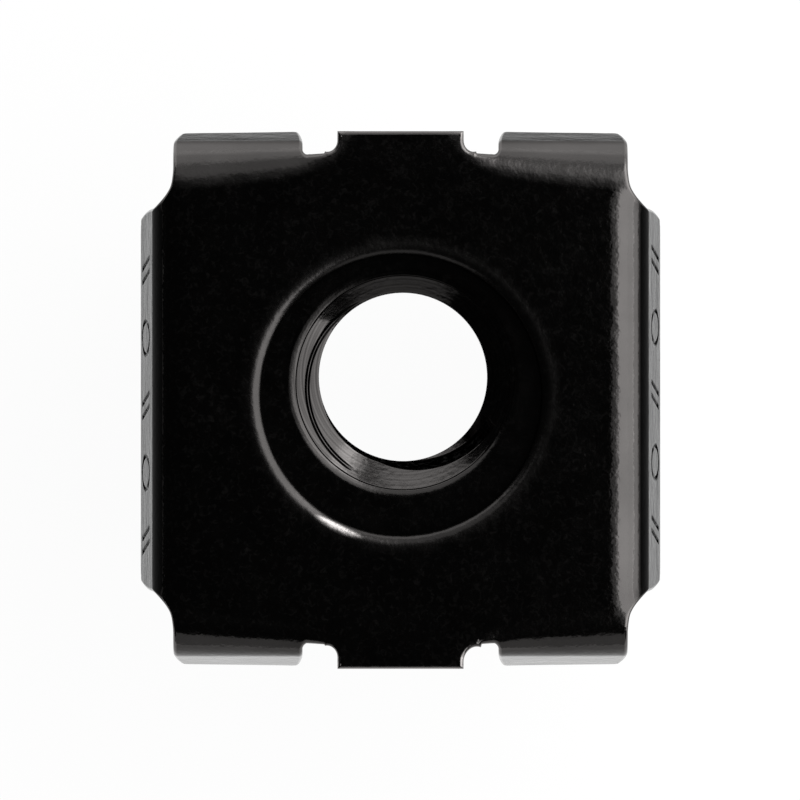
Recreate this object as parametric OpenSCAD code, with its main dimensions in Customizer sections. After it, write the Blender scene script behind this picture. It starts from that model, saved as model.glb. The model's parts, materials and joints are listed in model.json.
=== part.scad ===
// Rack cage nut: a loose square nut trapped in one folded sheet of spring steel,
// which clips into the square hole of a rack rail. The thread runs along Z, +Z
// points to the back of the rail, and the part stands on its lips at z = 0.

/* [Panel] */
// Side of the square hole that the legs go through
hole_side = 9.5; // [9.3:0.05:9.7]
// Clearance between the outer face of a leg and the hole
leg_gap = 0.2; // [0.15:0.05:0.3]
// Clearance between the side edges of a leg and the hole
edge_gap = 0.45; // [0.3:0.05:0.5]
// Thickest panel that the lips reach around
panel_t = 2.4; // [2:0.1:3.2]

/* [Nut] */
// Side of the square nut
nut_side = 10; // [9.8:0.05:10.4]
// Thickness of the nut
nut_t = 3.6; // [3.2:0.1:4.5]
// Minor diameter of the thread, here number 10 with 32 threads to the inch
thread_minor = 4.07; // [3.6:0.01:4.5]
// Diameter of the countersink at each mouth of the thread
countersink_d = 5.2; // [4.9:0.05:5.6]
// Slope of the countersink below the face of the nut
countersink_deg = 30; // [25:1:45]
// How far the countersink lies off the thread, along -Y
countersink_off = 0.14; // [0:0.02:0.16]
// Distance across the turned corners of the nut
corner_d = 13.2; // [12.6:0.1:13.6]
// Diameter of the flat crown inside the chamfer of the upper corners
crown_d = 10.4; // [9.6:0.1:10.8]
// Angle of the crown's chamfer
crown_deg = 30; // [20:1:35]

/* [Play of the nut] */
// Clearance between the nut and each side wall
wall_gap = 0.4; // [0.24:0.02:0.46]
// Clearance between the nut and the fingers on each side
finger_gap = 0.62; // [0.5:0.02:0.7]
// Clearance between the nut and the plate above it
lift_gap = 0.25; // [0.15:0.05:0.5]
// How far the nut has slid along X, as a share of its clearance
slide_x = 0.15; // [-0.9:0.05:0.9]
// How far the nut has slid along Y, as a share of its clearance
slide_y = 0.9; // [-0.9:0.05:0.9]

/* [Sheet] */
// Thickness of the spring steel sheet
sheet_t = 0.6; // [0.5:0.02:0.65]
// Inner radius of the bends between the plate and the side walls
wall_bend_r = 0.35; // [0.2:0.05:0.4]
// Inner radius of the bends at the shelves, legs and lips
leg_bend_r = 0.2; // [0.15:0.05:0.3]
// Inner radius of the bends of the fingers
finger_bend_r = 0.25; // [0.15:0.05:0.35]

/* [Plate] */
// Diameter of the plain hole over the nut
plate_hole_d = 6.74; // [6.2:0.02:7.4]
// How far that hole lies off the middle of the plate, along +Y
plate_hole_off = 0.13; // [0:0.01:0.2]
// Radius of the rolled edge around that hole
rim_r = 0.28; // [0.15:0.01:0.35]
// Distance over the two flat tabs
tabs_over = 12.96; // [12.6:0.02:13.2]
// Width of a tab
tab_w = 3.04; // [2.4:0.02:3.4]
// Width of the notch between a tab and a finger
notch_w = 0.84; // [0.7:0.02:1]
// Depth of the notch below the edge of the tab
notch_depth = 0.56; // [0.4:0.02:0.6]
// Fillet between the tab and the floor of the notch
notch_fillet = 0.3; // [0.2:0.05:0.35]

/* [Fingers] */
// Distance over the outer edges of two fingers
fingers_over = 10.96; // [10.8:0.02:11.2]
// Straight length of a finger below its bend
finger_l = 1.8; // [1.4:0.1:2]
// Angle that a finger leans outwards
finger_lean = 7; // [3:0.5:8]
// Radius of the outer corner of a finger's tip
finger_outer_r = 0.4; // [0.2:0.05:1]
// Radius of the inner corner of a finger's tip
finger_inner_r = 0.3; // [0.2:0.05:0.8]

/* [Walls, legs and lips] */
// Angle that a side wall leans outwards
wall_lean = 5; // [3:0.5:7]
// Radius of the round relief at each corner of the plate
relief_r = 0.67; // [0.5:0.01:0.7]
// Radius of the corner where a side wall narrows to its shelf
wall_corner_r = 0.3; // [0.2:0.05:0.4]
// Angle through which a lip turns outwards from its leg
lip_turn = 70; // [60:1:80]
// Straight length of a lip beyond its bend
lip_l = 0.6; // [0.4:0.05:0.9]
// Radius of the corners of a lip
lip_corner_r = 0.4; // [0.2:0.05:0.5]

/* [Hidden] */
$fn = 96;
// Overrun of a cut past the face that it goes through
cut = 1;

// Side walls, seen along Y
wall_turn = 90 - wall_lean;
wall_root_x = nut_side / 2 + wall_gap - wall_bend_r * sin(wall_turn);
cavity_h = nut_t + lift_gap;
wall_l = (cavity_h
    - wall_bend_r * (1 - cos(wall_turn))
    - leg_bend_r * (1 + cos(wall_turn))) / sin(wall_turn);
shelf_x = wall_root_x
    + (wall_bend_r - leg_bend_r) * sin(wall_turn)
    + wall_l * cos(wall_turn);

// Legs and lips
leg_x = hole_side / 2 - leg_gap;
shelf_l = shelf_x - leg_x - leg_bend_r;
leg_l = panel_t - 2 * leg_bend_r;
leg_w = hole_side - 2 * edge_gap;
wall_w = leg_w + 2 * wall_corner_r;
lip_h = (sheet_t + leg_bend_r) * sin(lip_turn) + lip_l * cos(lip_turn);
lip_x = leg_x + leg_bend_r * (1 - cos(lip_turn)) + lip_l * sin(lip_turn);

// Levels from the lips up
seat_z = lip_h + leg_l + leg_bend_r + sheet_t;
plate_z = seat_z + cavity_h;

// Fingers, seen along X
finger_turn = 90 - finger_lean;
finger_root_y = nut_side / 2 + finger_gap - finger_bend_r * sin(finger_turn);
finger_tip_z = plate_z
    - finger_bend_r * (1 - cos(finger_turn))
    - finger_l * sin(finger_turn);
finger_in_x = tab_w / 2 + notch_w;
finger_out_x = fingers_over / 2;
finger_w = finger_out_x - finger_in_x;
notch_y = tabs_over / 2 - notch_depth;

// Each step is [straight length, turn, inner radius]; a positive turn goes left
wall_steps = [[wall_l, 0, 0]];
leg_steps = [
    [0, -(180 - wall_turn), leg_bend_r],
    [shelf_l, 90, leg_bend_r],
    [leg_l, lip_turn, leg_bend_r],
    [lip_l, 0, 0]
];
finger_steps = [
    [0, -finger_turn, finger_bend_r],
    [finger_l, 0, 0]
];

// Section of a strip of sheet that starts at the origin along +X, lower face first
module folded_strip(steps, i = 0) {
    if (i < len(steps)) {
        length = steps[i][0];
        turn = steps[i][1];
        r = steps[i][2];
        centre_y = turn > 0 ? sheet_t + r : -r;
        if (length > 0) {
            square([length, sheet_t]);
        }
        translate([length, centre_y]) {
            if (turn != 0) {
                bend_section(r, turn);
            }
            rotate(turn) {
                translate([0, -centre_y]) {
                    folded_strip(steps, i + 1);
                }
            }
        }
    }
}

// Section of one bend around the origin
module bend_section(r, turn) {
    start = turn > 0 ? -90 : 90;
    reach = 2 * (r + sheet_t);
    intersection() {
        difference() {
            circle(r + sheet_t);
            circle(r);
        }
        polygon([
            [0, 0],
            reach * [cos(start), sin(start)],
            reach * [cos(start + turn / 2), sin(start + turn / 2)],
            reach * [cos(start + turn), sin(start + turn)]
        ]);
    }
}

// A section in XZ carried along Y, centred
module along_y(width) {
    rotate([90, 0, 0]) {
        linear_extrude(width, center = true) {
            children();
        }
    }
}

// Waste outside the round corner of a sheet, with the corner at the origin
module corner_waste(r) {
    difference() {
        translate([-r, -r]) {
            square(r + cut);
        }
        translate([-r, -r]) {
            circle(r);
        }
        translate([-r - cut, -r - cut]) {
            square([cut, r + 2 * cut]);
        }
    }
}

// The flat plate with its two tabs
module plate() {
    linear_extrude(sheet_t) {
        square([2 * wall_root_x, 2 * finger_root_y], center = true);
        square([2 * finger_in_x, 2 * notch_y], center = true);
        square([tab_w, tabs_over], center = true);
        for (sx = [0, 1], sy = [0, 1]) {
            mirror([sx, 0]) {
                mirror([0, sy]) {
                    translate([tab_w / 2, notch_y]) {
                        difference() {
                            square(notch_fillet);
                            translate([notch_fillet, notch_fillet]) {
                                circle(notch_fillet);
                            }
                        }
                    }
                }
            }
        }
    }
}

// The bend from the plate into a side wall, relieved at both ends
module wall_bend() {
    difference() {
        translate([wall_root_x, 0, 0]) {
            along_y(2 * finger_root_y) {
                folded_strip([[0, -wall_turn, wall_bend_r]]);
            }
        }
        for (sy = [0, 1]) {
            mirror([0, sy, 0]) {
                translate([finger_out_x, wall_w / 2, -wall_bend_r - sheet_t - cut]) {
                    linear_extrude(wall_bend_r + 2 * sheet_t + 2 * cut) {
                        translate([relief_r, relief_r]) {
                            circle(relief_r);
                        }
                        translate([0, relief_r]) {
                            square([2 * relief_r + cut, relief_r + cut]);
                        }
                        translate([relief_r, 0]) {
                            square([relief_r + cut, relief_r + cut]);
                        }
                    }
                }
            }
        }
    }
}

// From the foot of the wall bend: side wall, shelf, leg and lip
module wall_and_leg() {
    foot_x = wall_root_x + wall_bend_r * sin(wall_turn);
    foot_z = -wall_bend_r * (1 - cos(wall_turn));
    translate([foot_x, 0, foot_z]) {
        rotate([0, wall_turn, 0]) {
            difference() {
                along_y(wall_w) {
                    folded_strip(wall_steps);
                }
                for (sy = [0, 1]) {
                    mirror([0, sy, 0]) {
                        translate([wall_l, wall_w / 2, -cut]) {
                            linear_extrude(sheet_t + 2 * cut) {
                                corner_waste(wall_corner_r);
                            }
                        }
                    }
                }
            }
            translate([wall_l, 0, 0]) {
                along_y(leg_w) {
                    folded_strip(leg_steps);
                }
            }
        }
    }
}

// One whole side of the cage, its lip's corners rounded
module side() {
    wall_bend();
    difference() {
        wall_and_leg();
        for (sy = [0, 1]) {
            mirror([0, sy, 0]) {
                translate([lip_x, leg_w / 2, -plate_z - cut]) {
                    linear_extrude(lip_h + cut) {
                        corner_waste(lip_corner_r);
                    }
                }
            }
        }
    }
}

// One finger, bent down beside the nut
module finger() {
    difference() {
        translate([finger_in_x + finger_w / 2, finger_root_y, 0]) {
            rotate([0, 0, 90]) {
                along_y(finger_w) {
                    folded_strip(finger_steps);
                }
            }
        }
        translate([finger_out_x, 0, finger_tip_z - plate_z]) {
            finger_corner(finger_outer_r);
        }
        translate([finger_in_x, 0, finger_tip_z - plate_z]) {
            mirror([1, 0, 0]) {
                finger_corner(finger_inner_r);
            }
        }
    }
}

// Waste below the round lower corner of a finger, with the corner at the origin
module finger_corner(r) {
    translate([0, tabs_over / 2, 0]) {
        rotate([90, 0, 0]) {
            linear_extrude(tabs_over / 2 - finger_root_y + sheet_t) {
                mirror([0, 1]) {
                    corner_waste(r);
                }
            }
        }
    }
}

// The plain hole with its rolled upper edge
module plate_hole() {
    hole_r = plate_hole_d / 2;
    translate([0, plate_hole_off, 0]) {
        translate([0, 0, -cut]) {
            cylinder(h = sheet_t + 2 * cut, r = hole_r);
        }
        translate([0, 0, sheet_t - rim_r]) {
            rotate_extrude() {
                difference() {
                    translate([hole_r - rim_r, 0]) {
                        square([2 * rim_r, rim_r + cut]);
                    }
                    translate([hole_r + rim_r, 0]) {
                        circle(rim_r);
                    }
                }
            }
        }
    }
}

// The folded cage, one sheet
module cage() {
    color([0.09, 0.09, 0.1]) {
        translate([0, 0, plate_z]) {
            difference() {
                union() {
                    plate();
                    for (sx = [0, 1]) {
                        mirror([sx, 0, 0]) {
                            side();
                            for (sy = [0, 1]) {
                                mirror([0, sy, 0]) {
                                    finger();
                                }
                            }
                        }
                    }
                }
                plate_hole();
            }
        }
    }
}

// The square nut, resting on the shelves
module square_nut() {
    bore_r = thread_minor / 2;
    mouth_r = countersink_d / 2;
    mouth_depth = (mouth_r - bore_r) * tan(countersink_deg);
    cone_h = mouth_depth + cut * tan(countersink_deg);
    crown_drop = (corner_d - crown_d) / 2 * tan(crown_deg);
    color([0.2, 0.2, 0.22]) {
        translate([slide_x * wall_gap, slide_y * finger_gap, seat_z]) {
            difference() {
                intersection() {
                    translate([-nut_side / 2, -nut_side / 2, 0]) {
                        cube([nut_side, nut_side, nut_t]);
                    }
                    rotate_extrude() {
                        polygon([
                            [0, 0],
                            [corner_d / 2, 0],
                            [corner_d / 2, nut_t - crown_drop],
                            [crown_d / 2, nut_t],
                            [0, nut_t]
                        ]);
                    }
                }
                translate([0, 0, -cut]) {
                    cylinder(h = nut_t + 2 * cut, r = bore_r);
                }
                for (end = [0, 1]) {
                    translate([0, -countersink_off, end * nut_t]) {
                        mirror([0, 0, end]) {
                            translate([0, 0, mouth_depth - cone_h]) {
                                cylinder(h = cone_h, r1 = mouth_r + cut, r2 = bore_r);
                            }
                        }
                    }
                }
            }
        }
    }
}

cage();
square_nut();
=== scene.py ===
"""Rack cage nut: a square nut with a helical thread, loose in a cage folded from one sheet of spring steel.

Lengths are in millimetres until a mesh is made. On the flat sheet u runs along X, v along Y, and w is the
height above the lower face, the one towards the nut."""

import json
import math

import bpy
import numpy as np
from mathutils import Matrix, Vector, geometry


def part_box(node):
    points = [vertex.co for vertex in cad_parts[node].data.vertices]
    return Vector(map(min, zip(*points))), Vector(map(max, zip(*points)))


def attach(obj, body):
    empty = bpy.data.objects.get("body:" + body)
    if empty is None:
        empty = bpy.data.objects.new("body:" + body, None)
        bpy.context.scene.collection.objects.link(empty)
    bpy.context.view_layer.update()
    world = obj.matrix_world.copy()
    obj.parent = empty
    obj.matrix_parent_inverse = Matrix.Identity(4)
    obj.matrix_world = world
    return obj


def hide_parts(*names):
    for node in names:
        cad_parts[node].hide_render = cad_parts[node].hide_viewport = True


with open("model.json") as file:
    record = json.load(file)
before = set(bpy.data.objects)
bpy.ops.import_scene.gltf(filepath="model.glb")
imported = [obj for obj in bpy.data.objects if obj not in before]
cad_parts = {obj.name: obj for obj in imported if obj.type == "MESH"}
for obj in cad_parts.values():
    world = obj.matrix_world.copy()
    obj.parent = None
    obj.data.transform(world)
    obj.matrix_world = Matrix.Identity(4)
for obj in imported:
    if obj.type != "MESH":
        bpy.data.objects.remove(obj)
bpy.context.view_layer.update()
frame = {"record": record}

MM = 0.001
mounts = {mount["name"]: mount for mount in frame["record"]["mounts"]}
_, cage_high = (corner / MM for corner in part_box("cage"))
nut_low, nut_high = (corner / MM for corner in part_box("square_nut"))
thread_at = Vector(mounts["thread"]["pos_m"]) / MM
hole_at = Vector(mounts["plate_hole"]["pos_m"]) / MM

# The sheet and its bends: inner radii, and turns in degrees
SHEET_T = 0.6
WALL_BEND_R = 0.3
WALL_EASE_R = 1.0
WALL_EASE_TURN = 9
LEG_BEND_R = 0.2
WALL_LEAN = 5
LIP_TURN = 70
LIP_L = 0.6
PLATE_Z = cage_high.z - SHEET_T

# Plate, tabs and notches
PLATE_HOLE_R = mounts["plate_hole"]["dims"]["r_mm"]
HOLE_X = 0.02
RIM_W = 0.3
RIM_H = 0.22
TAB_X = 1.52
TAB_Y = cage_high.y
NOTCH_W = 0.84
NOTCH_DEPTH = 0.55
NOTCH_Y = TAB_Y - NOTCH_DEPTH
NOTCH_SHIFT = 0.03
NOTCH_FILLET = 0.3
NOTCH_WIDE_FILLET = 0.42
NOTCH_CORNER_R = 0.1

# Fingers
FINGER_IN = TAB_X + NOTCH_W
FINGER_OUT = 5.48
FINGER_L = 1.57
FINGER_LEAN = 7
FINGER_OUTER_TAPER = 0.16
FINGER_INNER_TAPER = 0.08
FINGER_TAPER_L = 1.9
FINGER_CORNER_R = 0.18
FINGER_REACH = 6.24
FINGER_LOOSER = 0.026
FINGER_TIGHTER = 0.05
FINGERS_FROM = 5.1

# Where the fingers' bends start: a slanted line through ROOT_Y at u = ROOT_U, with a rise next to the notch
ROOT_Y = 5.41
ROOT_U = 3
ROOT_SLOPE = 0.105
ROOT_RISE = 0.3
ROOT_RISE_U = 1.7
ROOT_RISE_W = 0.5

# Sharpest inner radii, where a finger's bend runs out beside its tab: before and after it is made tighter
SHARPEST_R = 0.04
TIGHTEST_R = 0.03

# Side walls, legs and lips
LEG_X = 4.55
LEG_W = 8.6
WALL_CORNER_R = 0.14
WALL_W = 9.25
WALL_REACH = 5.3956
RELIEF_U = 0.58
RELIEF_V = 0.65
RELIEF_GAP = 0.05
LIP_CORNER_R = 0.4

# Past its side, a wall's bend fades out into the finger between these two distances
FADE_FROM = 0.02
FADE_TO = 0.9
# A bend of which a smaller share than this is kept counts as flat
FLAT_SHARE = 0.01

# Punch marks on the side walls, numbered -MARK_LAST to MARK_LAST; MARK_H and MARK_W are half a ring's size
MARK_U = 7.8
MARK_LAST = 2
MARK_H = 1.05
MARK_W = 0.4
MARK_PITCH = 1.63
MARK_SHIFT = 0.08
MARK_DEPTH = 0.05
STROKE_W = 0.055
STROKE_APART = 0.32
STROKE_SLANT = 0.14

# Sheared edges: rolled over on top, a small burr break below, and worn over a share of the roll
ROLL_R = 0.09
BREAK_R = 0.03
WORN_SHARE = 0.8

# The black oxide: how strongly it mirrors head-on, the tint of that towards grazing angles, and its hue
BLACK = 0.06
# Painted shade: how little the side walls' bends mirror over part of their turn, so that they show dark there
SHADE_BAND_BLACK = 0.001
EDGE_TINT = 0.04
WARM = (1.05, 1.0, 0.98)
# Roughness added where the press has scuffed it
SATIN = 0.14
# Brighter where it is worn on sheared edges, and on the tab at -Y most, the extra there being a painted
# highlight; and their tint towards grazing angles
WORN = 0.05
TAB_WEAR_AND_HIGHLIGHT = 3 * WORN
WORN_TINT = 0.6
# The hole's rim mirrors less by this share; a painted glint, a patch on it that mirrors far more, sits at one
# spot: its degrees, distance out, size and brightness
RIM_DIMMER = 0.25
GLINT_AT = 244.5
GLINT_SPAN = 11
GLINT_OUT = 0.2
GLINT_W = 0.12
GLINT_BRIGHT = 0.35
# Painted highlights and painted shade on the fingers at -Y and at +Y, as steps, each (change, from, to): of
# how strongly they mirror, in degrees about the bend, and of how strongly they mirror towards grazing angles,
# in millimetres beyond the bend's end
TONE_STEP = {-1: (-0.02, 38, 46), 1: (0.05, 40, 50)}
SHEEN_STEPS = {
    -1: [(-0.07, 0, 0.1)],
    1: [(-0.6, -0.45, -0.1), (-0.4, -0.06, 0.12), (0.08, 0.4, 0.7)],
}
# How much the fingers' bends are scuffed at -Y and at +Y
FINGER_SCUFF = {-1: 0.25, 1: 1}

# Thread, number 10 with 32 threads to the inch
THREAD_R = mounts["thread"]["dims"]["r_mm"]
THREAD_MAJOR_R = 2.413
PITCH = 25.4 / 32
THREAD_FLANK = 30
MOUTH_R = 2.6
MOUTH_SLOPE = 30
MOUTH_OFF = 0.14

# The nut's outside: corners cut at NUT_CORNER_R, and a crown that falls beyond NUT_CROWN_R
NUT_CORNER_R = 6.6
NUT_CROWN_R = 5.2
NUT_CROWN_FALL = 30
NUT_EDGE_R = 0.12

# The camera, far above the plate, with a long lens that shows 19.28 mm of the plate's plane
CAMERA_AWAY = 860
CAMERA_X = -0.012
SENSOR_W = 36
LENS = 1606.05

# The studio, in metres and degrees: how far the lamps are from the plate, and each lamp's name, azimuth,
# elevation, width, height and radiance
LAMP_AWAY = 0.07
LAMPS = [
    ("right_top", 8, 74, 0.1, 0.01, 0.4),
    ("right_edge", 8, 67.5, 0.105, 0.007, 1.25),
    ("right_high", 10, 50, 0.115, 0.038, 3.1),
    ("right_mid", 10, 26.5, 0.115, 0.02, 2.95),
    ("right_low", 10, 9.5, 0.115, 0.025, 2.25),
    ("top_high", 98, 52, 0.07, 0.042, 0.6),
    ("top_low", 98, 16, 0.11, 0.042, 1.45),
    ("corner_high", 52, 62, 0.02, 0.03, 1.0),
    ("corner_low", 56, 28, 0.018, 0.034, 2.1),
    ("bottom_low", 272, 17, 0.08, 0.042, 0.43),
]
FLOOR_HALF = 2.0
FLOOR_GREY = 0.85
FLOOR_GLOW = 1.02
FLOOR_GLOW_SHARE = 0.94
SKY = 1.0
DIM_WALLS = 0.014


def cos(degrees):
    return math.cos(math.radians(degrees))


def sin(degrees):
    return math.sin(math.radians(degrees))


def smooth(x, low, high):
    """0 below low, 1 above high, and a smooth step between."""
    t = min(max((x - low) / (high - low), 0), 1)
    return t * t * (3 - 2 * t)


def side_of(x):
    """1 on the positive side and -1 on the other."""
    return 1 if x > 0 else -1


def bend_length(turn, r):
    """Length of the sheet's middle in a bend of that inner radius."""
    return math.radians(abs(turn)) * (r + SHEET_T / 2)


# ---------------------------------------------------------------- the folds

wall_turn = 90 - WALL_LEAN
# (turn, inner radius): the plate eases into the bend
wall_bends = [(-WALL_EASE_TURN, WALL_EASE_R), (WALL_EASE_TURN - wall_turn, WALL_BEND_R)]
wall_root = WALL_REACH + SHEET_T * sin(wall_turn) - (
    (WALL_EASE_R + SHEET_T) * sin(WALL_EASE_TURN)
    + (WALL_BEND_R + SHEET_T) * (sin(wall_turn) - sin(WALL_EASE_TURN)))
bend_drop = (WALL_EASE_R * (1 - cos(WALL_EASE_TURN))
             + WALL_BEND_R * (cos(WALL_EASE_TURN) - cos(wall_turn)))
cavity_h = PLATE_Z - nut_low.z
wall_l = (cavity_h - bend_drop - LEG_BEND_R * (1 + cos(wall_turn))) / sin(wall_turn)
shelf_x = WALL_REACH - LEG_BEND_R * sin(wall_turn) + wall_l * cos(wall_turn)
shelf_l = shelf_x - LEG_X - LEG_BEND_R
lip_h = (SHEET_T + LEG_BEND_R) * sin(LIP_TURN) + LIP_L * cos(LIP_TURN)
leg_l = nut_low.z - SHEET_T - LEG_BEND_R - lip_h

# Each step is (straight length, turn, inner radius); a positive turn goes left
wall_path = [
    *((0, turn, r) for turn, r in wall_bends),
    (wall_l, -(180 - wall_turn), LEG_BEND_R),
    (shelf_l, 90, LEG_BEND_R),
    (leg_l, LIP_TURN, LEG_BEND_R),
    (LIP_L, 0, 0),
]
wall_start = wall_root + sum(bend_length(turn, r) for turn, r in wall_bends)
wall_end = wall_start + wall_l
sheet_end = wall_root + sum(length + bend_length(turn, r) for length, turn, r in wall_path)


def fold(path, s):
    """Follows a folded path for s along the middle of the sheet: x, z of the lower face, and the heading."""
    x = z = heading = 0.0
    for length, turn, r in path:
        step = min(s, length)
        x += step * math.cos(heading)
        z += step * math.sin(heading)
        s -= step
        if turn and s > 0:
            share = min(s / bend_length(turn, r), 1)
            off = SHEET_T + r if turn > 0 else -r
            x -= math.sin(heading) * off
            z += math.cos(heading) * off
            s -= share * bend_length(turn, r)
            heading += share * math.radians(turn)
            x += math.sin(heading) * off
            z -= math.cos(heading) * off
        if s <= 0:
            return x, z, heading
    return x + s * math.cos(heading), z + s * math.sin(heading), heading


def finger_root(u):
    """Where the finger's bend starts: further out next to the notch, because the flat tab holds the sheet."""
    rise = ROOT_RISE * math.exp((ROOT_RISE_U - u) / ROOT_RISE_W)
    return ROOT_Y + ROOT_SLOPE * (ROOT_U - u) + rise


finger_turn = 90 - FINGER_LEAN


def finger_radius(u):
    """Inner radius of the finger's bend, which leaves all of the finger the same reach."""
    return max((FINGER_REACH - finger_root(u)) / sin(finger_turn) - SHEET_T, SHARPEST_R)


def finger_tip(u):
    """How far out on the flat sheet the finger ends, for an even tip once it is bent."""
    bend_drop = finger_radius(u) * (1 - cos(finger_turn))
    outer_drop = finger_radius(FINGER_OUT) * (1 - cos(finger_turn))
    straight = FINGER_L + (outer_drop - bend_drop) / sin(finger_turn)
    return finger_root(u) + bend_length(finger_turn, finger_radius(u)) + straight


def softened(turn, r, share):
    """A bend opened up to a share of its turn over the same length of sheet."""
    return turn * share, (r + SHEET_T / 2) / share - SHEET_T / 2


def place(u, v, w):
    """Where a point of the flat sheet comes to once the sheet is folded."""
    a, b = abs(u), abs(v)
    x, y, z = a, b, 0.0
    wall_heading = finger_heading = 0.0
    if a > wall_root:
        kept = 1 - smooth(b, WALL_W / 2 + FADE_FROM, WALL_W / 2 + FADE_TO)
        if kept == 1:
            dx, dz, wall_heading = fold(wall_path, a - wall_root)
        elif kept > FLAT_SHARE:
            path = [(0, *softened(turn, r, kept)) for turn, r in wall_bends]
            dx, dz, wall_heading = fold(path, a - wall_root)
        else:
            dx, dz = a - wall_root, 0.0
        x, z = wall_root + dx, dz
    if b > WALL_W / 2:
        kept = smooth(a, TAB_X, FINGER_IN)
        root = finger_root(a)
        if b > root and kept > FLAT_SHARE:
            looser = FINGER_LOOSER if v > 0 else -FINGER_TIGHTER
            turn, r = softened(-finger_turn, max(finger_radius(a) + looser, TIGHTEST_R), kept)
            dy, dz, finger_heading = fold([(0, turn, r)], b - root)
            y, z = root + dy, z + dz
    normal = Vector((
        -math.sin(wall_heading),
        -math.sin(finger_heading),
        math.cos(wall_heading) * math.cos(finger_heading),
    )).normalized()
    point = Vector((x, y, PLATE_Z + z)) + w * normal
    return (math.copysign(point.x, u), math.copysign(point.y, v), point.z)


# ---------------------------------------------------------------- the blank's outline

def arc(centre, radii, start, end, spacing=0.05):
    """Points on an arc of an ellipse, both ends included."""
    length = math.radians(abs(end - start)) * max(radii)
    count = max(4, math.ceil(length / spacing))
    angles = [start + (end - start) * i / count for i in range(count + 1)]
    return [(centre[0] + radii[0] * cos(t), centre[1] + radii[1] * sin(t)) for t in angles]


def notch_floor(u, side):
    """Where the notch's floor lies on the flat sheet, for a straight floor once the finger is bent."""
    wanted = NOTCH_Y + side * NOTCH_SHIFT
    flat_for_sure, halvings = 5.3, 30
    low, high = flat_for_sure, wanted
    for _ in range(halvings):
        middle = (low + high) / 2
        reached = side * place(u, side * middle, SHEET_T)[1]
        low, high = (middle, high) if reached < wanted else (low, middle)
    return low


def edge_shares(count):
    """Shares of the way along an edge, up to just before the rounding at its end."""
    return np.linspace(0, 0.95, count)


def finger_side(edge_u, inward, taper):
    """One side of a finger as (u, distance out from its tip): it tapers more and more, then rounds."""
    r = FINGER_CORNER_R
    side = [(edge_u + inward * taper * t * t, -r - FINGER_TAPER_L * (1 - t)) for t in edge_shares(12)]
    return side + arc((edge_u + inward * (taper + r), -r), (-inward * r, r), 0, 90)


def wall_side():
    """The side edge of a wall, which narrows more and more towards the shelf and then rounds into the leg."""
    r = WALL_CORNER_R
    start, taper = FINGER_OUT + RELIEF_U + RELIEF_GAP, (WALL_W - LEG_W) / 2 - r
    side = [(start + (wall_end - r - start) * t, WALL_W / 2 - taper * t * t) for t in edge_shares(20)]
    return side + arc((wall_end - r, WALL_W / 2 - taper - r), (r, r), 90, 0)


def quarter_outline(side_x, side_y):
    """A quarter of the outline, from the middle of a tab to the middle of a lip, given on +X and +Y.

    The notches all lie slightly towards +Y, and one of them has a wider fillet."""
    floor_y = NOTCH_Y + side_y * NOTCH_SHIFT
    f = NOTCH_WIDE_FILLET if side_x > side_y else NOTCH_FILLET
    g, apart = NOTCH_CORNER_R, 0.02
    inner_side = finger_side(FINGER_IN, 1, FINGER_INNER_TAPER)
    outer_side = finger_side(FINGER_OUT, -1, FINGER_OUTER_TAPER)
    finger = subdivide(inner_side + outer_side[::-1], False)
    finger = [(u, finger_tip(u) + out) for u, out in finger]
    floor_u = np.linspace(TAB_X + f + apart, FINGER_IN - g - apart, 5)
    floor = [(u, notch_floor(u, side_y)) for u in floor_u]
    corner = arc((FINGER_IN - g, 0), (g, g), 270, 360, spacing=0.03)
    corner = [(u, notch_floor(FINGER_IN - g, side_y) + g + v) for u, v in corner]
    lip = LIP_CORNER_R
    return [
        (0, TAB_Y),
        (TAB_X, TAB_Y),
        *arc((TAB_X + f, floor_y + f), (f, f), 180, 270),
        *floor,
        *corner,
        *finger,
        *arc((FINGER_OUT + RELIEF_U, WALL_W / 2 + RELIEF_V), (RELIEF_U, RELIEF_V), 180, 270),
        *wall_side(),
        *arc((sheet_end - lip, LEG_W / 2 - lip), (lip, lip), 90, 0),
        (sheet_end, 0),
    ]


def subdivide(points, closed, spacing=0.08):
    """The same outline with no edge longer than spacing."""
    result = []
    following = points[1:] + points[:1] if closed else points[1:]
    for (u0, v0), (u1, v1) in zip(points, following):
        count = max(1, math.ceil(math.hypot(u1 - u0, v1 - v0) / spacing))
        result += [(u0 + (u1 - u0) * i / count, v0 + (v1 - v0) * i / count) for i in range(count)]
    return result if closed else result + [points[-1]]


def blank_outline():
    """The whole outline, anticlockwise, so that the sheet is on the left."""
    loop = []
    for side_x, side_y, backwards in ((1, 1, True), (-1, 1, False), (-1, -1, True), (1, -1, False)):
        quarter = [(side_x * u, side_y * v) for u, v in quarter_outline(side_x, side_y)]
        loop += quarter[:0:-1] if backwards else quarter[:-1]
    return np.array(subdivide(loop, True))


def hole_outline(count=300):
    """The plate's hole, clockwise, so that the sheet is on the left."""
    angles = -np.arange(count) * 2 * math.pi / count
    return np.column_stack([
        HOLE_X + PLATE_HOLE_R * np.cos(angles),
        hole_at.y + PLATE_HOLE_R * np.sin(angles),
    ])


def inset(loop, distance):
    """The loop moved into the sheet, with its corners mitred."""
    edges = np.roll(loop, -1, axis=0) - loop
    normals = np.column_stack([-edges[:, 1], edges[:, 0]])
    normals /= np.linalg.norm(normals, axis=1)[:, None]
    middle = normals + np.roll(normals, 1, axis=0)
    middle /= (middle * middle).sum(axis=1)[:, None] / 2
    return loop + distance * middle


def edge_profile(roll_w, roll_h, steps):
    """(inset, height) down a sheared edge, from the upper face to the lower one."""
    support, break_steps = 0.02, 3
    top = [(roll_w * (1 - sin(t)), SHEET_T - roll_h * (1 - cos(t))) for t in np.linspace(0, 90, steps + 1)]
    low = [(BREAK_R * (1 - cos(t)), BREAK_R * (1 - sin(t))) for t in np.linspace(0, 90, break_steps + 1)]
    return [(roll_w + support, SHEET_T), *top, *low, (BREAK_R + support, 0)]


# ---------------------------------------------------------------- the cage's mesh

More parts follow.
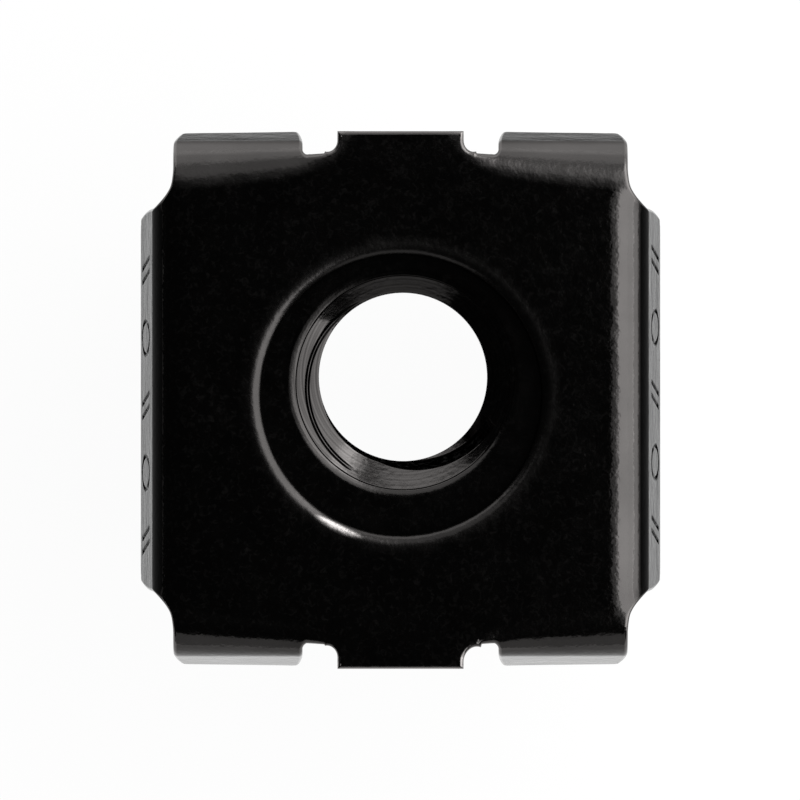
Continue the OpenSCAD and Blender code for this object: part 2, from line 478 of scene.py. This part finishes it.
def mark_depth(u, v):
    """Depth of the shallow punch marks on the side walls: by turns a plain ring and two slanted strokes."""
    least, far = 0.1, 1.0
    down = np.abs(u) - MARK_U
    order = v / MARK_PITCH - MARK_SHIFT * np.sign(u)
    number = np.round(order)
    across = (order - number) * MARK_PITCH
    size = np.maximum(np.hypot(down / MARK_H, across / MARK_W), least)
    steepness = np.maximum(np.hypot(down / MARK_H ** 2, across / MARK_W ** 2), least)
    ring = np.abs(size - 1) * size / steepness
    strokes = np.abs(np.abs(across + STROKE_SLANT * down) - STROKE_APART / 2)
    strokes = np.where(np.abs(down) > MARK_H, far, strokes)
    away = np.where(number % 2 == 1, ring, strokes)
    return MARK_DEPTH * np.clip(1 - away / STROKE_W, 0, 1) * (np.abs(number) <= MARK_LAST)


def mark_points():
    """Extra points of the sheet, close together around the punch marks."""
    around, down_step, across_step = 0.1, 0.06, 0.035
    reach = (MARK_LAST + 0.7) * MARK_PITCH
    u = np.arange(MARK_U - MARK_H - around, MARK_U + MARK_H + around, down_step)
    v = np.arange(-reach, reach, across_step)
    grid = np.array(np.meshgrid(np.concatenate([-u, u]), v)).reshape(2, -1).T
    order = grid[:, 1] / MARK_PITCH - MARK_SHIFT * np.sign(grid[:, 0])
    across = (order - np.round(order)) * MARK_PITCH
    return grid[np.abs(across) < MARK_W + around]


def spread(stops):
    """Coordinates from 0 outwards: each stop is (where it ends, spacing up to there)."""
    values = [0.0]
    for end, spacing in stops:
        count = max(1, math.ceil((end - values[-1]) / spacing))
        values += list(np.linspace(values[-1], end, count + 1)[1:])
    return np.array(values)


def lattice():
    """Points over the sheet, close together across each bend."""
    bend, finger, flat = 0.05, 0.15, 0.25
    stops = [(wall_root - 0.1, flat)]
    at = wall_root
    for length, turn, r in wall_path:
        if length:
            stops.append((at + length, flat))
        at += length
        stops.append((at + bend_length(turn, r), bend))
        at += bend_length(turn, r)
    u = spread([stop for stop in stops if stop[0] < sheet_end])
    v = spread([(5.0, flat), (6.7, bend), (9, finger)])
    u = np.concatenate([-u[:0:-1], u])
    v = np.concatenate([-v[:0:-1], v])
    return np.array(np.meshgrid(u, v)).reshape(2, -1).T


def inside(points, loop):
    """Which points lie in the loop."""
    x, y = points[:, 0], points[:, 1]
    odd = np.zeros(len(points), bool)
    for (x0, y0), (x1, y1) in zip(loop, np.roll(loop, -1, axis=0)):
        crosses = (y0 > y) != (y1 > y)
        with np.errstate(divide="ignore", invalid="ignore"):
            odd ^= crosses & (x < (x1 - x0) * (y - y0) / (y1 - y0) + x0)
    return odd


def clear_of(points, loop, margin):
    """Which points are at least the margin away from every point of the loop."""
    result = np.ones(len(points), bool)
    for corner in loop:
        result &= ((points - corner) ** 2).sum(axis=1) > margin * margin
    return result


def fill(outer, hole, points):
    """Triangles between the outer loop and the hole, through those of the given points that lie there."""
    margin, epsilon = 0.035, 1e-6
    keep = inside(points, outer) & ~inside(points, hole)
    keep[keep] = clear_of(points[keep], np.vstack([outer, hole]), margin)
    all_points = np.vstack([outer, hole, points[keep]])
    n, m = len(outer), len(hole)
    edges = [(i, (i + 1) % n) for i in range(n)] + [(n + i, n + (i + 1) % m) for i in range(m)]
    coords, _, faces, origin, _, _ = geometry.delaunay_2d_cdt(
        [Vector(p) for p in all_points], edges, [], 0, epsilon)
    centres = np.array([np.mean([coords[i] for i in face], axis=0) for face in faces])
    wanted = inside(centres, outer) & ~inside(centres, hole)
    index = [sources[0] for sources in origin]
    triangles = [tuple(index[i] for i in face) for face, good in zip(faces, wanted) if good]
    return points[keep], triangles


def sheet_mesh():
    """The flat blank's points as (u, v, w), its faces, and 1 for each point on a worn, sheared edge."""
    outer, hole = blank_outline(), hole_outline()
    outer_profile = edge_profile(ROLL_R, ROLL_R, 5)
    hole_profile = edge_profile(RIM_W, RIM_H, 12)
    points, faces, cut = [], [], []

    def add(loop, height, edge):
        start = len(points)
        points.extend((u, v, height) for u, v in loop)
        cut.extend([edge] * len(loop))
        return start

    first, last = [], []
    for loop, profile in ((outer, outer_profile), (hole, hole_profile)):
        n = len(loop)
        worn = [float(loop is outer and d < ROLL_R * WORN_SHARE) for d, _ in profile]
        rings = [add(inset(loop, d), h, edge) for (d, h), edge in zip(profile, worn)]
        for upper, lower in zip(rings, rings[1:]):
            faces.extend((lower + i, lower + (i + 1) % n, upper + (i + 1) % n, upper + i) for i in range(n))
        first.append((rings[0], inset(loop, profile[0][0])))
        last.append((rings[-1], inset(loop, profile[-1][0])))
    for (outer_ring, hole_ring), height, flip in ((first, SHEET_T, False), (last, 0, True)):
        within = lattice() if flip else np.vstack([lattice(), mark_points()])
        extra, triangles = fill(outer_ring[1], hole_ring[1], within)
        n, m = len(outer_ring[1]), len(hole_ring[1])
        start = len(points)
        depths = 0 * extra[:, 0] if flip else mark_depth(extra[:, 0], extra[:, 1])
        points.extend((u, v, height - float(depth)) for (u, v), depth in zip(extra, depths))
        cut.extend([0.0] * len(extra))
        names = [*range(outer_ring[0], outer_ring[0] + n), *range(hole_ring[0], hole_ring[0] + m),
                 *range(start, start + len(extra))]
        for a, b, c in triangles:
            faces.append((names[c], names[b], names[a]) if flip else (names[a], names[b], names[c]))
    return points, faces, cut


def make_object(name, points, faces, attributes=None):
    """A smooth-shaded mesh object from points in millimetres."""
    mesh = bpy.data.meshes.new(name)
    mesh.from_pydata([Vector(p) * MM for p in points], [], faces)
    mesh.shade_smooth()
    for key, values in (attributes or {}).items():
        mesh.attributes.new(key, "FLOAT", "POINT").data.foreach_set("value", values)
    mesh.validate()
    obj = bpy.data.objects.new(name, mesh)
    bpy.context.scene.collection.objects.link(obj)
    return obj


def wall_shade_band(u, v):
    """How far a place lies in the painted shade band over part of a side wall's bend, where it barely
    mirrors.
    """
    start, ease = 42 if u > 0 else 37, 9
    turned = -math.degrees(fold(wall_path, abs(u) - wall_root)[2])
    beyond = smooth(abs(u), wall_start + 0.1, wall_start + 0.6)
    in_corner = smooth(abs(v), 4.5, 5.3)
    return smooth(turned, start, start + ease) * (1 - beyond) * (1 - in_corner)


def sheet_tone(u, v, tone, shade_band, edge):
    """How strongly a place mirrors: less in the painted shade band, more where the oxide is worn on an edge,
    with a painted highlight on the -Y tab's edge, less on the hole's rim, and a painted glint at one spot of
    it.
    """
    # Painted shade: across the side walls' shade band the tone falls towards its darkest
    tone += shade_band * (SHADE_BAND_BLACK - tone)
    # On the -Y tab's edge the extra brightness is a painted highlight on top of the wear
    tone += edge * (TAB_WEAR_AND_HIGHLIGHT if v < -TAB_Y + 0.3 else WORN)
    out = Vector((u - HOLE_X, v - hole_at.y))
    from_hole = out.length - PLATE_HOLE_R
    tone *= 1 - RIM_DIMMER * (1 - smooth(from_hole, RIM_W, RIM_W + 0.1))
    # Painted glint: a bright patch of stronger mirroring on the rim, towards the lower left
    turned = math.degrees(math.atan2(out.y, out.x)) % 360
    spot = math.hypot((turned - GLINT_AT) / GLINT_SPAN, (from_hole - GLINT_OUT) / GLINT_W)
    return tone + GLINT_BRIGHT * (1 - smooth(spot, 0.6, 1.0))


def sheet_satin(u, v):
    """How far the press has scuffed a place: the start of the fingers' bends, and the hole's rim."""
    from_hole = math.hypot(u - HOLE_X, v - hole_at.y) - PLATE_HOLE_R
    rim = 1 - smooth(from_hole, RIM_W - 0.05, RIM_W + 0.15)
    if abs(v) < FINGERS_FROM:
        return rim
    beyond_root = abs(v) - finger_root(abs(u))
    turned = math.degrees(beyond_root / (finger_radius(abs(u)) + SHEET_T / 2))
    return FINGER_SCUFF[side_of(v)] * smooth(beyond_root, -0.2, 0) * (1 - smooth(turned, 45, 65))


def finger_finish(u, v):
    """(tone, edge tint) of the fingers, with steps of painted highlight and painted shade in how their bends
    mirror.
    """
    middle_r = finger_radius(abs(u)) + SHEET_T / 2
    beyond_root = abs(v) - finger_root(abs(u))
    turned = math.degrees(beyond_root / middle_r)
    straight = beyond_root - bend_length(finger_turn, finger_radius(abs(u)))
    # Painted highlight at +Y and painted shade at -Y: the fingers mirror more or less past part of their
    # bend's turn
    change, start, end = TONE_STEP[side_of(v)]
    tone = BLACK + change * smooth(turned, start, end)
    # Painted reflection: steps in how strongly the fingers mirror towards grazing angles
    grazing_sheen = 1
    for change, start, end in SHEEN_STEPS[side_of(v)]:
        grazing_sheen += change * smooth(straight, start, end)
    grazing_sheen *= smooth(abs(v), FINGERS_FROM, FINGERS_FROM + 0.4)
    return tone, EDGE_TINT + (1 - EDGE_TINT) * grazing_sheen


def make_cage():
    """The folded sheet, with what its materials need to know at each point."""
    points, faces, cut = sheet_mesh()
    # Each point's share in the painted shade band on the side walls' bends
    shade_band = [wall_shade_band(u, v) if wall_root < abs(u) < wall_end else 0 for u, v, _ in points]
    plain = (BLACK, EDGE_TINT)
    finishes = [finger_finish(u, v) if abs(v) > FINGERS_FROM else plain for u, v, _ in points]
    return make_object("cage_sheet", [place(*p) for p in points], faces, {
        "tone": [sheet_tone(u, v, tone, share, edge)
                 for (u, v, _), (tone, _), share, edge in zip(points, finishes, shade_band, cut)],
        "edge_tint": [max(tint, WORN_TINT * edge) for (_, tint), edge in zip(finishes, cut)],
        "shade_band": shade_band,
        "satin": [sheet_satin(u, v) for u, v, _ in points],
    })


# ---------------------------------------------------------------- the nut's mesh

def thread_radius(angle, z):
    """Radius of the threaded wall at an angle about the thread and a height above the nut's lower face."""
    phase = (z / PITCH - angle / (2 * math.pi)) % 1
    from_root = abs(phase - 0.5) * PITCH
    root_half, depth = PITCH / 16, THREAD_MAJOR_R - THREAD_R
    flank = (from_root - root_half) / math.tan(math.radians(THREAD_FLANK))
    return THREAD_MAJOR_R - np.clip(flank, 0, depth)


def off_circle(angle, r, off):
    """Distance, at an angle about the thread, to a circle whose centre is off along -Y."""
    return -off * np.sin(angle) + np.sqrt(r * r - (off * np.cos(angle)) ** 2)


def mouth_depth(r, degrees):
    """Depth below the nut's face at a radius from the mouth's middle, with the run-out of the thread."""
    entry_w, entry_h, entry_curve = 0.2, 0.04, 1.6
    step_w, step_h = 0.03, 0.04
    depth = entry_h * np.clip((MOUTH_R + entry_w - r) / entry_w, 0, 1) ** entry_curve
    depth += step_h * np.clip((MOUTH_R - r) / step_w, 0, 1)
    depth += np.clip(MOUTH_R - step_w - r, 0, None) * math.tan(math.radians(MOUTH_SLOPE))
    # The start of the thread: a narrow groove which winds inwards as it gets deeper
    groove_start, groove_end, groove_half_w, groove_h = 245, 130, 0.07, 0.05
    turned = (groove_start - degrees) % 360
    groove_r = MOUTH_R - 0.17 - 0.2 * turned / 100
    present = np.clip(turned / 15, 0, 1) * np.clip((groove_end - turned) / 25, 0, 1)
    groove = 0.5 + 0.5 * np.cos(math.pi * np.clip((r - groove_r) / groove_half_w, -1, 1))
    depth += groove_h * groove * present
    # One turn further on, the groove's steep wall drops to the first whole crest
    drop_start, drop_end, drop_w, drop_h = 335, 150, 0.24, 0.55
    turned = (drop_start - degrees) % 360
    wall_r = MOUTH_R - 0.145 - 0.455 * np.clip(turned / 80, 0, 1)
    present = np.clip(turned / 20, 0, 1) * np.clip((drop_end - turned) / 40, 0, 1)
    depth += drop_h * np.clip((wall_r - r) / drop_w, 0, 1) * present
    return depth


def nut_tone(r, degrees):
    """How strongly a place of the nut mirrors: in the mouth, fine rings, painted shade towards -X and a
    painted highlight towards -Y, where it is brightest.
    """
    reach = 65
    # The mouth is darker overall, with painted shade towards -X and a painted highlight towards -Y
    left, below = (np.clip(1 - np.abs(degrees - at) / reach, 0, 1) for at in (180, 265))
    rings = 0.5 * np.sin(95 * r) + 0.5 * np.sin(57 * r + degrees / 40)
    in_mouth = np.clip((MOUTH_R + 0.25 - r) / 0.1, 0, 1)
    return BLACK * (1 + in_mouth * (-0.15 - 0.2 * left + 0.4 * below + 0.25 * rings))


def nut_mesh():
    """Rings about the thread: up the threaded wall, out over the top, down the sides and in below."""
    count = 360
    angle = np.arange(count) * 2 * math.pi / count
    degrees = np.arange(count) * 360 / count
    height = nut_high.z - nut_low.z
    half = (nut_high.x - nut_low.x) / 2
    edge_r, sharpness = NUT_EDGE_R, 12
    crown_fall = math.tan(math.radians(NUT_CROWN_FALL))
    outer_mouth = off_circle(angle, MOUTH_R + 0.2, MOUTH_OFF)
    mouth_rings, wall_rings, run_out = 84, 114, 0.04

    mouth = []
    for share in np.linspace(0, 1, mouth_rings):
        r = THREAD_R + share * (outer_mouth - THREAD_R)
        from_middle = np.hypot(r * np.cos(angle), r * np.sin(angle) + MOUTH_OFF)
        mouth.append((r, height - mouth_depth(from_middle, degrees)))
    upper = mouth[0][1]
    wall = []
    for share in np.linspace(0, 1, wall_rings)[1:-1]:
        z = (height - upper) + share * (upper - (height - upper))
        ease = min(1, share / run_out, (1 - share) / run_out)
        rounded = np.mean([thread_radius(angle, z + off) for off in (-0.04, -0.02, 0, 0.02, 0.04)], axis=0)
        wall.append((THREAD_R + ease * (rounded - THREAD_R), z))

    square = half / np.maximum(np.abs(np.cos(angle)), np.abs(np.sin(angle)))
    side = -np.log(np.exp(-sharpness * square) + np.exp(-sharpness * NUT_CORNER_R)) / sharpness
    flat_r = np.minimum(np.full(count, NUT_CROWN_R), side - edge_r - 0.05)
    level = np.full(count, height)
    top = [(outer_mouth + share * (flat_r - outer_mouth), level) for share in (0.05, 0.3, 0.6, 1)]
    outside = []
    for share in (0.25, 0.5, 0.75, 1):
        r = NUT_CROWN_R + share * (side - edge_r - NUT_CROWN_R)
        r = np.maximum(r, flat_r)
        outside.append((r, height - np.maximum(r - NUT_CROWN_R, 0) * crown_fall))
    shoulder = outside[-1][1]
    for t in (30, 60, 90):
        outside.append((side - edge_r * (1 - sin(t)), shoulder - edge_r * (1 - cos(t))))
    outside.append((side, shoulder * 0.5))
    for t in (90, 60, 30, 0):
        outside.append((side - edge_r * (1 - sin(t)), np.full(count, edge_r * (1 - cos(t)))))
    under = [(r, height - z) for r, z in reversed(mouth[:1] + mouth[1::3] + top[:-1])]
    rings = wall + mouth + top + outside + under
    points, tones = [], []
    for r, z in rings:
        x, y = r * np.cos(angle), r * np.sin(angle)
        points += list(zip(thread_at.x + x, thread_at.y + y, nut_low.z + z))
        tones += list(nut_tone(r, degrees))
    faces = []
    for k in range(len(rings)):
        low, high = k * count, (k + 1) % len(rings) * count
        for i in range(count):
            j = (i + 1) % count
            faces.append((low + i, high + i, high + j, low + j))
    return points, faces, tones


def make_nut():
    """The threaded nut, with crisp edges where its faces meet at more than 50 degrees."""
    points, faces, tones = nut_mesh()
    nut = make_object("nut_body", points, faces, {"tone": tones})
    nut.data.set_sharp_from_angle(angle=math.radians(50))
    return nut


# ---------------------------------------------------------------- materials

class Nodes:
    """Short forms for building a material's node tree."""

    def __init__(self, name):
        self.material = bpy.data.materials.new(name)
        self.material.use_nodes = True
        self.tree = self.material.node_tree
        self.shader = self.tree.nodes["Principled BSDF"]
        self.output = self.tree.nodes["Material Output"]
        self.coords = self.tree.nodes.new("ShaderNodeTexCoord").outputs["Object"]

    def add(self, kind, inputs=None, **settings):
        node = self.tree.nodes.new(kind)
        for key, value in settings.items():
            setattr(node, key, value)
        for key, value in (inputs or {}).items():
            if isinstance(value, bpy.types.NodeSocket):
                self.tree.links.new(value, node.inputs[key])
            else:
                node.inputs[key].default_value = value
        return node

    def link(self, value, socket):
        self.tree.links.new(value, self.shader.inputs[socket])

    def attribute(self, name):
        return self.add("ShaderNodeAttribute", attribute_name=name).outputs["Fac"]

    def noise(self, size, detail=2.0, roughness=0.5, distortion=0.0):
        """Noise whose features are about size millimetres across."""
        return self.add("ShaderNodeTexNoise", {
            "Vector": self.coords, "Scale": 1 / (size * MM), "Detail": detail,
            "Roughness": roughness, "Distortion": distortion,
        }).outputs["Fac"]

    def math(self, operation, first, second):
        return self.add("ShaderNodeMath", {0: first, 1: second}, operation=operation).outputs[0]

    def ramp(self, value, low, high, to_low, to_high):
        return self.add("ShaderNodeMapRange", {
            "Value": value, "From Min": low, "From Max": high, "To Min": to_low, "To Max": to_high,
        }).outputs["Result"]

    def bump(self, height, distance, normal=None):
        """Bump of that height in millimetres on top of another."""
        inputs = {"Height": height, "Distance": distance * MM, "Strength": 1.0}
        if normal is not None:
            inputs["Normal"] = normal
        return self.add("ShaderNodeBump", inputs).outputs["Normal"]


def black_finish(name, roughness, grain, sheet=False):
    """Thin black oxide on steel, which mirrors like a dark metal: specked, finely grained, a bit wavy."""
    n = Nodes(name)
    # The tone attribute carries painted shade and highlights, a painted glint, and wear on sheared edges
    tone, shade_band = n.attribute("tone"), 0.0
    if sheet:
        shade_band = n.attribute("shade_band")
        # edge_tint carries the fingers' painted highlights and shade towards grazing angles, and wear on
        # sheared edges
        n.link(n.attribute("edge_tint"), "Specular Tint")
    else:
        n.shader.inputs["Specular Tint"].default_value = (EDGE_TINT, EDGE_TINT, EDGE_TINT, 1)
    blotch = n.math("MULTIPLY", n.ramp(n.noise(1.4, 3.0), 0.35, 0.65, 0.92, 1.08), tone)
    n.link(n.add("ShaderNodeVectorMath", {0: blotch, 1: WARM}, operation="MULTIPLY").outputs[0], "Base Color")
    speck = n.ramp(n.noise(0.14, 2.0, 0.6, 0.8), 0.52, 0.75, 0.0, 0.05)
    # Random specks, and the painted shade band on the walls' bends, make the surface a little less metallic
    spot = n.math("MAXIMUM", speck, n.math("MULTIPLY", shade_band, 0.13))
    n.link(n.math("SUBTRACT", 1.0, spot), "Metallic")
    rough = n.ramp(n.noise(0.5, 3.0), 0.3, 0.7, *roughness)
    if sheet:
        rough = n.math("ADD", rough, n.math("MULTIPLY", n.attribute("satin"), SATIN))
    n.link(rough, "Roughness")
    normal = n.bump(n.noise(1.1, 1.0), grain * 2.0)
    normal = n.bump(n.noise(0.24, 2.0, 0.55), grain, normal)
    normal = n.bump(n.noise(0.09, 1.0), grain * 0.4, normal)
    n.link(normal, "Normal")
    return n.material


# ---------------------------------------------------------------- the studio

def make_floor():
    """A pale floor that glows white to the eye and in mirrors, and keeps a faint shadow of the object."""
    mesh = bpy.data.meshes.new("floor")
    corners = [(x * FLOOR_HALF, y * FLOOR_HALF, 0) for x, y in ((-1, -1), (1, -1), (1, 1), (-1, 1))]
    mesh.from_pydata(corners, [], [(0, 1, 2, 3)])
    floor = bpy.data.objects.new("floor", mesh)
    bpy.context.scene.collection.objects.link(floor)
    n = Nodes("floor_paper")
    n.shader.inputs["Base Color"].default_value = (FLOOR_GREY, FLOOR_GREY, FLOOR_GREY, 1)
    n.shader.inputs["Roughness"].default_value = 1.0
    n.shader.inputs["Specular IOR Level"].default_value = 0.0
    glow = n.add("ShaderNodeEmission", {"Strength": FLOOR_GLOW}).outputs[0]
    path = n.add("ShaderNodeLightPath").outputs
    mirrored = n.math("ADD", path["Is Glossy Ray"], path["Is Transmission Ray"])
    seen = n.math("ADD", path["Is Camera Ray"], mirrored)
    share = n.math("MULTIPLY", seen, FLOOR_GLOW_SHARE)
    choose = n.add("ShaderNodeMixShader", {0: share, 1: n.shader.outputs[0], 2: glow})
    n.tree.links.new(choose.outputs[0], n.output.inputs["Surface"])
    mesh.materials.append(n.material)


def make_panel(name, azimuth, elevation, width, height, radiance):
    """A soft light of that radiance, facing the object from an azimuth about +Z and an elevation."""
    light = bpy.data.lights.new(name, "AREA")
    light.shape = "RECTANGLE"
    light.size = width
    light.size_y = height
    light.energy = radiance * math.pi * width * height
    panel = bpy.data.objects.new(name, light)
    middle = Vector((0, 0, PLATE_Z * MM))
    away = Vector((cos(azimuth) * cos(elevation), sin(azimuth) * cos(elevation), sin(elevation)))
    panel.location = middle + away * LAMP_AWAY
    panel.rotation_mode = "QUATERNION"
    panel.rotation_quaternion = away.to_track_quat("Z", "Y")
    panel.visible_camera = False
    bpy.context.scene.collection.objects.link(panel)


def make_world():
    """White to the camera, and the studio's dim walls to everything else."""
    world = bpy.data.worlds.new("studio")
    world.use_nodes = True
    tree = world.node_tree
    background = tree.nodes["Background"]
    path = tree.nodes.new("ShaderNodeLightPath")
    level = tree.nodes.new("ShaderNodeMapRange")
    level.inputs["To Min"].default_value = DIM_WALLS
    level.inputs["To Max"].default_value = SKY
    tree.links.new(path.outputs["Is Camera Ray"], level.inputs["Value"])
    tree.links.new(level.outputs["Result"], background.inputs["Strength"])
    background.inputs["Color"].default_value = (1, 1, 1, 1)
    bpy.context.scene.world = world


def make_camera():
    """Straight above the plate, with +Y up in the picture."""
    data = bpy.data.cameras.new("camera")
    data.sensor_width = SENSOR_W
    data.lens = LENS
    data.clip_start = 0.001
    camera = bpy.data.objects.new("camera", data)
    camera.location = Vector((CAMERA_X, 0.0, cage_high.z + CAMERA_AWAY)) * MM
    bpy.context.scene.collection.objects.link(camera)
    bpy.context.scene.camera = camera


# ---------------------------------------------------------------- everything together

cage = make_cage()
cage.data.materials.append(black_finish("cage_black", (0.1, 0.14), 0.008, sheet=True))
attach(cage, "root")
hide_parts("cage")

nut = make_nut()
nut.data.materials.append(black_finish("nut_black", (0.1, 0.16), 0.003))
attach(nut, "root")
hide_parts("square_nut")

make_floor()
for lamp in LAMPS:
    make_panel(*lamp)
make_world()
make_camera()

bpy.context.scene.view_settings.view_transform = "Standard"
